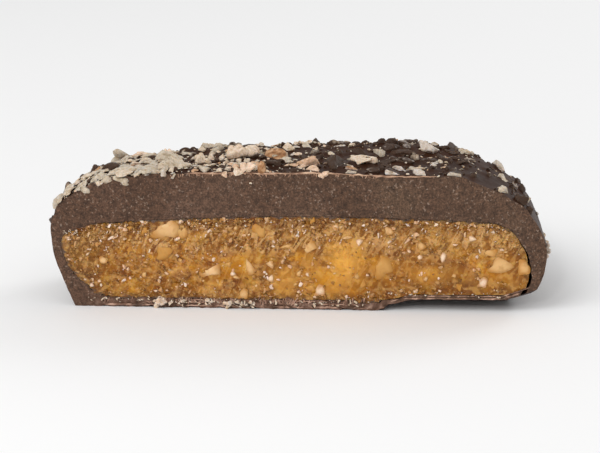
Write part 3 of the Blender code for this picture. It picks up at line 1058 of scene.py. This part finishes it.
def makeToffeeCrumbs():
    draw = random.Random(toffeeCrumbsAndGlints["seed"])
    copies = []
    for _ in range(toffeeCrumbsAndGlints["tries"]):
        spot = barPoint(coreForm, draw.uniform(-0.985, 0.985), 0.0, draw.uniform(0.04, 0.96))
        x, z = spot.x + coreForm["shift"], spot.z
        chance, small, turn, tone = draw.random(), draw.random(), draw.uniform(0, math.tau), draw.random()
        sizes = [draw.uniform(0.5, 1.3) for _ in range(3)]
        axis = Vector((draw.random(), draw.random(), 1)).normalized()
        shape = draw.choice(templates["bit"])
        if z < chipTop(x, cutY) + chip["skin"] + 0.3 and x > chip["profile"][0][0]:
            continue
        calm, torn, edge, glow = toffeeZones(x, z)
        crowd = 0.28 + 0.9 * waver(x / 1.5, z / 1.2, 12.0) + 0.15 * torn + 0.35 * edge
        gap = edgeGap(x, z)
        if gap < 0.2 or chance > crowd * (1 - 0.8 * max(calm, glow)) * (1 - onCutNut(x, z)):
            continue
        size = mix(*toffeeCrumbsAndGlints["sizes"], small**2.2)
        y = cutY - toffeeRelief(x, z) - 0.10 * size
        turned = Matrix.Rotation(turn, 4, axis)
        if draw.random() < 0.4 * torn and gap > 0.7:
            turned = Matrix.Rotation(draw.gauss(core["lean"], 0.35), 4, "Y")
            sizes = toffeeCrumbsAndGlints["sliver"]
        turned = turned @ Matrix.Diagonal([0.5 * size * share for share in sizes] + [1])
        copies.append((shape, Matrix.Translation((x, y, z)) @ turned, tone, 0.0))
        if len(copies) == toffeeCrumbsAndGlints["count"]:
            break
    return toMetres(scatterCopies("toffeeCrumbsAndGlints", copies))


# what the knife tore loose: pale crumbs under the toffee, and a burr along the top of the cut, its light
# colour partly a painted sheen
torn = {
    "crumbSeed": 31, "whiskerSeed": 37, "strandSeed": 43,
    "clusters": (      # x from, x to, height, how many, smallest, largest
        (-17.4, -13.6, 0.65, 18, 0.25, 1.25),
        (-12.0, -10.3, 0.85, 9, 0.25, 1.20),
        (-8.6, -5.0, 0.60, 16, 0.25, 1.20),
        (-3.5, 8.5, 0.70, 10, 0.20, 0.60),
        (-26.0, 9.5, 0.95, 90, 0.12, 0.45),
        (11.0, 26.0, 2.15, 40, 0.10, 0.30),
        (-5.9, -5.5, 15.6, 1, 0.40, 0.42),
        (-28.6, -26.6, 9.4, 14, 0.12, 0.28),
    ),
    "chunky": ((0.8, 1.5), (0.6, 1.0), (0.6, 1.1)),      # along, out and up, by their size
    "rimRun": (-13.6, 17.0, 0.27),                       # x from, x to, thickness
    "skinRuns": (      # x from, x to, height above the underside, thickness
        (-24.5, 9.4, 0.30, 0.30), (-21.0, 8.8, 0.72, 0.22), (-14.0, 6.0, 1.05, 0.16),
        (11.2, 27.2, 0.12, 0.24), (12.5, 28.6, 0.44, 0.18),
    ),
    "ribbonSteps": 12,     # in a millimetre
    "strands": 170,        # layers of skin pulled out
    "whiskers": 80,        # short threads of chocolate that hang from the edge of the cut
}


def makeTornCrumbs():
    draw = random.Random(torn["crumbSeed"])
    copies = []
    for start, end, height, count, small, large in torn["clusters"]:
        for _ in range(count):
            x = draw.uniform(start, end)
            z = height + draw.gauss(0, 0.16)
            size = mix(small, large, draw.random() ** 1.6)
            kind = "clump" if size > 0.6 else "bit"
            turn = draw.gauss(0, 0.7)
            sizes = [0.5 * size * draw.uniform(*share) for share in torn["chunky"]]
            place = (x, cutY - 0.04 - 0.12 * size, max(z, 0.4 * size))
            tone = draw.choice((0.5, 0.6, 0.7, 0.8))
            copies.append((draw.choice(templates[kind]), seatAtCut(place, turn, sizes), tone, 0.0))
    return toMetres(scatterCopies("tornCrumbs", copies))


# height of the edge of the cut above a place along it
def rimHeight(x):
    side = coatForm["left"] if x < 0 else coatForm["right"]
    return barPoint(coatForm, x / (bar["length"] / 2 - side[1]), 0.0, 1.0).z


# a thin torn edge that runs along the cut, thick in some places and nearly gone in others
def makeRibbon(name, start, end, thick, seed, heightAt):
    steps = int(torn["ribbonSteps"] * (end - start))
    curve = bpy.data.curves.new(name, "CURVE")
    curve.dimensions = "3D"
    curve.bevel_depth = 1.0
    curve.bevel_resolution = 1
    curve.use_fill_caps = True
    line = curve.splines.new("POLY")
    line.points.add(steps)
    for n, point in enumerate(line.points):
        x = mix(start, end, n / steps)
        drift = waver(x / 1.1, 3.0, seed)
        ripple = waver(x / 0.7, 9.0, seed) + 0.5 * waver(x / 0.25, 9.0, seed)
        fade = ease(0, 0.05, n / steps) * ease(1, 0.95, n / steps)
        swell = ease(-0.35, 0.25, waver(x / 2.3, 5.0, seed)) * 0.7 + 0.3
        point.co = (x, cutY - 0.02 + 0.06 * drift, heightAt(x) + 0.3 * thick * ripple, 1)
        point.radius = 0.5 * thick * fade * swell + 0.004
    ribbon = addObject(name, curve)
    pick(ribbon)
    bpy.ops.object.convert(target="MESH")
    return ribbon


# a thread of torn chocolate
def makeThread(draw, place, turn, thin, long):
    return draw.choice(templates["bit"]), seatAtCut(place, turn, (thin, thin, 0.5 * long)), 0.5, 0.0


def makeBurr():
    # the burr is a real torn edge whose light tone is partly a painted sheen
    edge = makeRibbon("cutBurrWithSheen", *torn["rimRun"], 0.0, lambda x: rimHeight(x) + 0.02)
    draw = random.Random(torn["whiskerSeed"])
    whiskers = []
    for _ in range(torn["whiskers"]):
        x, long, thin = draw.uniform(-16, 10), draw.uniform(0.15, 0.6), draw.uniform(0.03, 0.07)
        place = (x, cutY - 0.05, rimHeight(x) - 0.4 * long)
        whiskers.append(makeThread(draw, place, draw.gauss(0, 0.5), thin, long))
    return toMetres(joinAll([edge, scatterCopies("whiskers", whiskers)], "cutBurrWithSheen"))


def makeTornSkin():
    runs = []
    for number, (start, end, rise, thick) in enumerate(torn["skinRuns"]):
        chipped = start > chip["profile"][0][0]
        runs.append(makeRibbon(
            "tornSkin", start, end, thick, number + 1.0,
            lambda x: rise + (chipTop(x, cutY) if chipped else 0.0)))
    draw = random.Random(torn["strandSeed"])
    strands = []
    for _ in range(torn["strands"]):
        x, long, thin = draw.gauss(-6, 7), draw.uniform(0.3, 1.1), draw.uniform(0.05, 0.11)
        turn = draw.gauss(0.1, 0.4)
        if -26 < x < 9:
            place = (x, cutY - 0.12, 0.95 + draw.gauss(0, 0.15))
            strands.append(makeThread(draw, place, turn, thin, long))
    return toMetres(joinAll(runs + [scatterCopies("strands", strands)], "tornSkin"))


cutPecanPiece = makeCutPecans()
toffeeCrumbPiece = makeToffeeCrumbs()
tornCrumbPiece = makeTornCrumbs()
burrPiece = makeBurr()
skinPiece = makeTornSkin()
print("scene: toffee crumbs made:", len(toffeeCrumbPiece.data.polygons), len(tornCrumbPiece.data.polygons))


# dark chocolate, set in air: a satin skin with soft waves
def setChocolate():
    material, add = newMaterial("setDarkChocolate")
    cloud = add("TexNoise", {"Detail": 4.0}, size=6.0)
    tone = add("ValToRGB", {"Fac": cloud}, stops=((0.3, "#2d190f"), (0.55, "#3b2317"), (0.75, "#482e20")))
    bloom = add("TexNoise", {"Detail": 3.0}, size=0.5)
    haze = add("ValToRGB", {"Fac": bloom}, stops=((0.5, 0.0), (0.75, 0.2)))
    fine = add("TexNoise", {"Detail": 2.0}, size=0.25)
    return finishMaterial(material, tone, ((haze, 1, "#5a4636"),), {
        "Roughness": add("MapRange", {"Value": cloud, "To Min": 0.36, "To Max": 0.55}),
        "IOR": 1.45, "Specular IOR Level": 0.08,
        "Normal": add("Bump", {"Height": fine, "Strength": 0.25, "Distance": 0.00004}),
    })


# the same chocolate where the knife went through it: matt, grainy, with pale flecks of sugar and fat
def cutChocolate():
    material, add = newMaterial("knifeCutChocolate")
    where = add("TexCoord").outputs["Object"]
    along, _, up = add("SeparateXYZ", {"Vector": where}).outputs
    broad = add("TexNoise", {"Detail": 3.0}, size=7.0)
    plum = add("ValToRGB", {"Fac": broad}, stops=((0.3, "#765540"), (0.5, "#7f5d48"), (0.7, "#886652")))
    olive = add("ValToRGB", {"Fac": broad}, stops=((0.3, "#73543f"), (0.5, "#7c5c47"), (0.7, "#84654e")))
    toRight = add("MapRange", {"Value": along, "From Min": -0.018, "From Max": 0.012})
    grain = add("TexNoise", {"Detail": 3.0, "Roughness": 0.7}, size=0.24)
    shade = add("ValToRGB", {"Fac": grain}, stops=((0.33, "#929292"), (0.5, "#d6d6d6"), (0.66, "#ffffff")))
    knifeWay = add("Mapping", {"Vector": where, "Rotation": (0, 0.28, 0), "Scale": (1.0, 1.0, 0.18)})
    streak = add("TexNoise", {"Vector": knifeWay, "Detail": 3.0}, size=0.5)
    drag = add("ValToRGB", {"Fac": streak}, stops=((0.35, "#e9e9e9"), (0.65, "#ffffff")))
    cloud = add("TexNoise", {"Detail": 3.0, "Roughness": 0.65}, size=0.75)
    mottle = add("ValToRGB", {"Fac": cloud}, stops=((0.36, "#bcbcbc"), (0.5, "#e4e4e4"), (0.64, "#ffffff")))
    sugar = add("TexNoise", {"Detail": 1.5}, size=0.31)
    spread = {"Value": add("TexNoise", {"Detail": 2.0}, size=3.0), "From Min": 0.35, "From Max": 0.65}
    thick = add("MapRange", spread | {"To Min": -0.05, "To Max": 0.04})
    dense = add("Math", {0: sugar, 1: thick}, operation="ADD")
    fleck = add("ValToRGB", {"Fac": dense}, stops=((0.62, 0.0), (0.76, 0.6)))
    # the thin skin under the toffee is torn, pinkish and full of crumbs
    ragged = add("TexNoise", {"Detail": 4.0}, size=0.8)
    pink = add("ValToRGB", {"Fac": ragged}, stops=(
        (0.34, "#4a3426"), (0.46, "#684b3b"), (0.57, "#876757"), (0.68, "#bb9a86")))
    low = add("MapRange", {"Value": up, "From Min": 0.0021, "From Max": 0.0010})
    pastFoot = {"Value": along, "From Min": -0.026, "From Max": -0.021}
    inward = add("MapRange", pastFoot | {"To Min": 0.1, "To Max": 0.75})
    layers = (
        (toRight, 1, olive),
        (1.0, 1, shade, "MULTIPLY"), (1.0, 1, drag, "MULTIPLY"), (1.0, 1, mottle, "MULTIPLY"),
        (fleck, 1, "#ab9482"), (low, inward, pink),
    )
    return finishMaterial(material, plum, layers, {
        "Roughness": 0.6, "IOR": 1.46, "Specular IOR Level": 0.3,
        "Normal": add("Bump", {"Height": grain, "Strength": 0.7, "Distance": 0.00009}),
    })


# butter toffee, broken rather than cut: crumbly sugar with clear amber patches
def crumblyToffee():
    material, add = newMaterial("crumblyButterToffee")
    zones, shades = [add("Attribute", attribute_name=name) for name in ("zones", "shades")]
    calm, torn, edge = add("SeparateColor", {"Color": zones}).outputs
    # painted glow, painted shade in the hollows with the darkening, and painted highlight on the ridges
    glow, shadeAndDarkening, ridgeHighlight = add("SeparateColor", {"Color": shades}).outputs
    patch = add("TexNoise", {"Detail": 5.0, "Roughness": 0.58, "Distortion": 0.8}, size=2.2)
    body = add("ValToRGB", {"Fac": patch}, stops=(
        (0.30, "#6e3b00"), (0.40, "#9f5e02"), (0.50, "#c48214"), (0.60, "#e2a63a"), (0.70, "#f8ca7c")))
    clear = add("ValToRGB", {"Fac": patch}, stops=((0.32, "#a26602"), (0.5, "#c4830c"), (0.7, "#e2a224")))
    wide = add("TexNoise", {"Detail": 2.0}, size=5.5)
    drift = add("ValToRGB", {"Fac": wide}, stops=((0.38, "#cfc6b4"), (0.5, "#efebe4"), (0.6, "#ffffff")))
    slant = add("Mapping", {
        "Vector": add("TexCoord").outputs["Object"],
        "Rotation": (0, core["lean"], 0), "Scale": (1.0, 1.0, 3.2),
    }, vector_type="TEXTURE")
    streak = add("TexNoise", {"Vector": slant, "Detail": 4.0, "Roughness": 0.6}, size=0.7)
    shreds = add("ValToRGB", {"Fac": streak}, stops=(
        (0.34, "#5c3002"), (0.44, "#905816"), (0.53, "#b47c34"), (0.62, "#dfac7e"), (0.7, "#f5d0b8")))
    # fine threads of sugar, drawn out where the knife pulled the toffee apart
    pulled = add("TexNoise", {
        "Vector": slant, "Detail": 1.0, "Distortion": 0.5, "Offset": 1.0, "Gain": 1.0,
    }, size=0.9, noise_type="RIDGED_MULTIFRACTAL")
    thread = add("ValToRGB", {"Fac": pulled}, stops=((0.86, 0.0), (0.98, 0.8)))
    some = add("MapRange", {"Value": torn, "To Min": 0.3, "To Max": 1.0})
    threads = add("Math", {0: thread, 1: some}, operation="MULTIPLY")
    # pecan pieces just under the surface show through as soft tan patches
    cells = add("TexVoronoi", size=2.8)
    near = add("ValToRGB", {"Fac": cells}, stops=((0.12, 0.75), (0.4, 0.0)))
    cell = add("SeparateColor", {"Color": cells.outputs["Color"]})
    few = add("Math", {0: cell, 1: 0.55}, operation="GREATER_THAN")
    frost = add("TexNoise", {"Detail": 4.0, "Roughness": 0.7}, size=0.45)
    rind = add("ValToRGB", {"Fac": frost}, stops=(
        (0.34, "#523816"), (0.46, "#7b5828"), (0.57, "#9c7644"), (0.68, "#cdae86")))
    # painted sheen: soft pale dabs where the wet toffee would catch the light
    grains = add("TexNoise", {"Detail": 1.0}, size=0.85)
    sheenDabs = add("ValToRGB", {"Fac": grains}, stops=((0.53, 0.0), (0.66, 0.5)))
    grit = add("TexNoise", {"Detail": 3.0, "Roughness": 0.6}, size=0.34)
    rough = add("MapRange", {"Value": calm, "To Min": 1.0, "To Max": 0.3})
    # painted shade in the low places of the grit, which also raises the bump, and painted glints on its high
    # places
    dark = add("ValToRGB", {"Fac": grit}, stops=((0.34, 0.45), (0.44, 0.0)))
    pale = add("ValToRGB", {"Fac": grit}, stops=((0.57, 0.0), (0.67, 0.6)))
    butter = add("Mix", {0: calm, 6: "#eadfa8", 7: "#eadd92"}, data_type="RGBA")
    dragged = add("Math", {0: edge, 1: 1.0}, operation="SUBTRACT")
    layers = (
        (calm, 1, clear), (1.0, 1, drift, "MULTIPLY"), (torn, 0.7, shreds), (threads, 1, "#eec0a2"),
        (near, few, "#daa75e"), (edge, 0.62, rind),
        (shadeAndDarkening, 0.7, "#7c4804"), (ridgeHighlight, 0.55, "#e8b892"),     # painted shade in the hollows, which also darkens towards the chip, the left end and the upper edge, and a painted highlight on the ridges
        (sheenDabs, 1, "#ebbd94"),                                  # painted sheen: soft pale dabs of light on the toffee
        # painted shade in the pits of the grit and painted glints on its peaks
        (dark, rough, "#7a4808"), (pale, rough, "#f2c8a4"),
        (1.0, 1, butter, "MULTIPLY"),                           # butter yellows it all
        # painted glow of light through the clear amber patches
        (glow, 0.75, "#fbb84e"), (dragged, 1, "#604a3c"),
    )
    relief = add("Math", {0: grit, 1: rough}, operation="MULTIPLY")
    bump = add("Bump", {"Height": relief, "Strength": 0.9, "Distance": 0.00013})
    return finishMaterial(material, body, layers, {
        "Roughness": add("MapRange", {"Value": grit, "To Min": 0.4, "To Max": 0.2}),
        "IOR": 1.5, "Specular IOR Level": 0.2,
        "Coat Weight": 0.25, "Coat Roughness": 0.12,      # butter leaves it wet-looking, so it glints
        "Subsurface Weight": 0.4, "Subsurface Radius": (1.0, 0.5, 0.12), "Subsurface Scale": 0.0008,
        "Normal": add("Bump", {"Height": threads, "Strength": 1.0, "Distance": 0.00010, "Normal": bump}),
    })


# crumbs of the same toffee: amber where they are clear, pale where they are dry sugar, and the palest tones
# are painted glints
def toffeeCrumbAndGlint():
    material, add = newMaterial("toffeeCrumbAndGlint")
    look = add("SeparateColor", {"Color": add("Attribute", attribute_name="look")})
    tone = add("ValToRGB", {"Fac": look}, stops=(
        (0.0, "#805418"), (0.35, "#a87534"), (0.62, "#c69256"), (0.84, "#e6b892"), (1.0, "#fbdfce")))
    return finishMaterial(material, tone, (), {
        "Roughness": 0.38, "IOR": 1.5,
        "Subsurface Weight": 0.3, "Subsurface Radius": (1.0, 0.55, 0.2), "Subsurface Scale": 0.0005,
    })


# chopped pecan: matt cream flesh, brown skin on some sides, and a film of chocolate on others
def choppedPecan():
    material, add = newMaterial("choppedPecan")
    tone, onSkin, dip = add("SeparateColor", {"Color": add("Attribute", attribute_name="look")}).outputs
    flesh = add("ValToRGB", {"Fac": tone}, stops=(
        (0.0, "#ddd2ca"), (0.14, "#c8bdae"), (0.3, "#d3c6b4"), (0.5, "#e6d3bf"),
        (0.68, "#f4dfca"), (0.84, "#efd4be"), (0.94, "#e3bfa2"), (1.0, "#d0a37e")))
    mottle = add("TexNoise", {"Detail": 4.0}, size=0.9)
    stain = add("ValToRGB", {"Fac": mottle}, stops=((0.52, 0.0), (0.72, 0.45)))
    fine = add("TexNoise", {"Detail": 4.0, "Roughness": 0.7}, size=0.4)
    shade = add("ValToRGB", {"Fac": fine}, stops=((0.34, "#d2c8bc"), (0.47, "#f0ebe4"), (0.58, "#ffffff")))
    cells = add("TexVoronoi", size=0.8)
    dot = add("ValToRGB", {"Fac": cells}, stops=((0.0, 0.85), (0.08, 0.8), (0.16, 0.0)))
    cell = add("SeparateColor", {"Color": cells.outputs["Color"]})
    some = add("Math", {0: cell, 1: 0.7}, operation="GREATER_THAN")
    furrow = add("TexNoise", {"Detail": 3.0}, size=0.6)
    skin = add("ValToRGB", {"Fac": furrow}, stops=((0.3, "#80583a"), (0.5, "#a97c56"), (0.7, "#d3ac86")))
    smear = add("Math", {0: dip, 1: mottle}, operation="ADD")
    film = add("ValToRGB", {"Fac": smear}, stops=((0.62, 0.0), (0.95, 0.75), (1.0, 0.97)))
    grain = add("TexNoise", {"Detail": 2.0}, size=0.25)
    layers = (
        (1.0, 1, shade, "MULTIPLY"), (stain, 1, "#b0966c"), (dot, some, "#6e4a28"), (onSkin, 1, skin),
        (film, 1, "#3e2a1e"),
    )
    return finishMaterial(material, flesh, layers, {
        "Roughness": add("MapRange", {"Value": film, "To Min": 0.6, "To Max": 0.5}),
        "IOR": 1.35, "Specular IOR Level": 0.25,
        "Subsurface Weight": 0.35, "Subsurface Radius": (1.0, 0.75, 0.5), "Subsurface Scale": 0.0004,
        "Normal": add("Bump", {"Height": grain, "Strength": 0.4, "Distance": 0.00008}),
    })


# pecan that has steeped in the toffee: oily, and cream to amber
def steepedPecan():
    material, add = newMaterial("steepedPecan")
    tone, _, dip = add("SeparateColor", {"Color": add("Attribute", attribute_name="look")}).outputs
    flesh = add("ValToRGB", {"Fac": tone}, stops=(
        (0.0, "#c0842e"), (0.35, "#cf9a52"), (0.66, "#e0b276"), (0.88, "#eec592"), (1.0, "#f8d8bc")))
    mottle = add("TexNoise", {"Detail": 4.0}, size=0.7)
    stain = add("ValToRGB", {"Fac": mottle}, stops=((0.5, 0.0), (0.72, 0.6)))
    return finishMaterial(material, flesh, ((stain, 1, "#b98442"), (dip, 0.85, "#b67a2a")), {
        "Roughness": 0.42, "IOR": 1.47, "Specular IOR Level": 0.4,
        "Subsurface Weight": 0.2, "Subsurface Radius": (1.0, 0.6, 0.3), "Subsurface Scale": 0.0006,
        "Normal": add("Bump", {"Height": mottle, "Strength": 0.3, "Distance": 0.0001}),
    })


# chocolate that the knife smeared or tore into thin, light layers
def thinChocolate(name, size, tones, roughness):
    material, add = newMaterial(name)
    drift = add("TexNoise", {"Detail": 4.0}, size=size)
    tone = add("ValToRGB", {"Fac": drift}, stops=list(zip((0.35, 0.5, 0.65), tones)))
    return finishMaterial(material, tone, (), {"Roughness": roughness, "IOR": 1.46})


def paperFloor():
    material, _ = newMaterial("palePaper")
    return finishMaterial(material, "#fafafa", (), {"Roughness": 0.95, "Specular IOR Level": 0.1})


pecan = choppedPecan()
# light tan tones of the burr, partly a painted sheen where the edge of the cut catches the light
smearedWithSheen = thinChocolate("smearedChocolateWithSheen", 1.2, ("#8a6650", "#b68f74", "#dab698"), 0.45)
tornLayers = thinChocolate("tornChocolateSkin", 0.9, ("#553c2b", "#8a6550", "#c8a28c"), 0.5)
finishes = [      # piece, slot, materials, and the angle in degrees that stays sharp
    (coatPiece, "chocolate", [setChocolate(), cutChocolate()], 38),
    (burrPiece, "chocolate", [smearedWithSheen], 60),
    (skinPiece, "chocolate", [tornLayers], 60),
    (corePiece, "toffee", [crumblyToffee()], 50),
    (toffeeCrumbPiece, "toffee", [toffeeCrumbAndGlint()], 30),
    (cutPecanPiece, "pecan", [steepedPecan()], 40),
    (tornCrumbPiece, "pecan", [pecan], 35),
    (crumbPiece, "pecan", [pecan], 50),
] + [(piece, "pecan", [pecan], 50) for piece in nutPieces.values()]
for piece, slotName, materials, crease in finishes:
    pick(piece)
    bpy.ops.object.shade_smooth_by_angle(angle=math.radians(crease))
    piece.data.materials.clear()
    for material in materials:
        piece.data.materials.append(material)
    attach(piece, "root")
for face in coatPiece.data.polygons:
    if face.normal.y < -0.75 and face.center.y < (cutY + 0.35) * mm:
        face.material_index = 1
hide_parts("chocolate_coating")
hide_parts("toffee_core")
print("scene: finishes done")

stage = {
    "azimuth": 3, "elevation": 16, "distance": 0.24, "lens": 116,      # of the camera
    "aim": (0.0, -0.005, 0.0085),
    "lamps": (      # name, place, size, power
        ("window", (-0.34, -0.38, 0.46), 0.40, 2.0),
        ("spark", (-0.10, -0.50, 0.30), 0.05, 0.3),
        ("rim", (0.40, 0.35, 0.30), 0.25, 0.7),
    ),
    "lampAim": (0, 0, 0.008),
    "sky": 0.6,
}


def aimFrom(thing, place, target):
    thing.location = place
    thing.rotation_euler = (Vector(target) - Vector(place)).to_track_quat("-Z", "Y").to_euler()


def addLamp(name, place, size, power):
    lamp = bpy.data.lights.new(name, "AREA")
    lamp.size = size
    lamp.energy = power
    aimFrom(addObject(name, lamp), place, stage["lampAim"])


def setStage():
    deselectAll()
    bpy.ops.mesh.primitive_plane_add(size=3.0, location=(0, 0, 0))
    floor = bpy.context.object
    floor.name = "floor"
    floor.data.materials.append(paperFloor())
    camera = addObject("camera", bpy.data.cameras.new("camera"))
    turn, lift = math.radians(stage["azimuth"]), math.radians(stage["elevation"])
    back = Vector((math.sin(turn) * math.cos(lift), -math.cos(turn) * math.cos(lift), math.sin(lift)))
    aimFrom(camera, Vector(stage["aim"]) + back * stage["distance"], stage["aim"])
    camera.data.lens = stage["lens"]
    camera.data.clip_start, camera.data.clip_end = 0.01, 10
    bpy.context.scene.camera = camera
    for lamp in stage["lamps"]:
        addLamp(*lamp)
    world = bpy.data.worlds.new("room")
    world.use_nodes = True
    setInputs(world.node_tree.nodes["Background"], {"Color": "#ffffff", "Strength": stage["sky"]})
    bpy.context.scene.world = world
    bpy.context.scene.view_settings.view_transform = "Standard"


setStage()
print("scene: stage set")
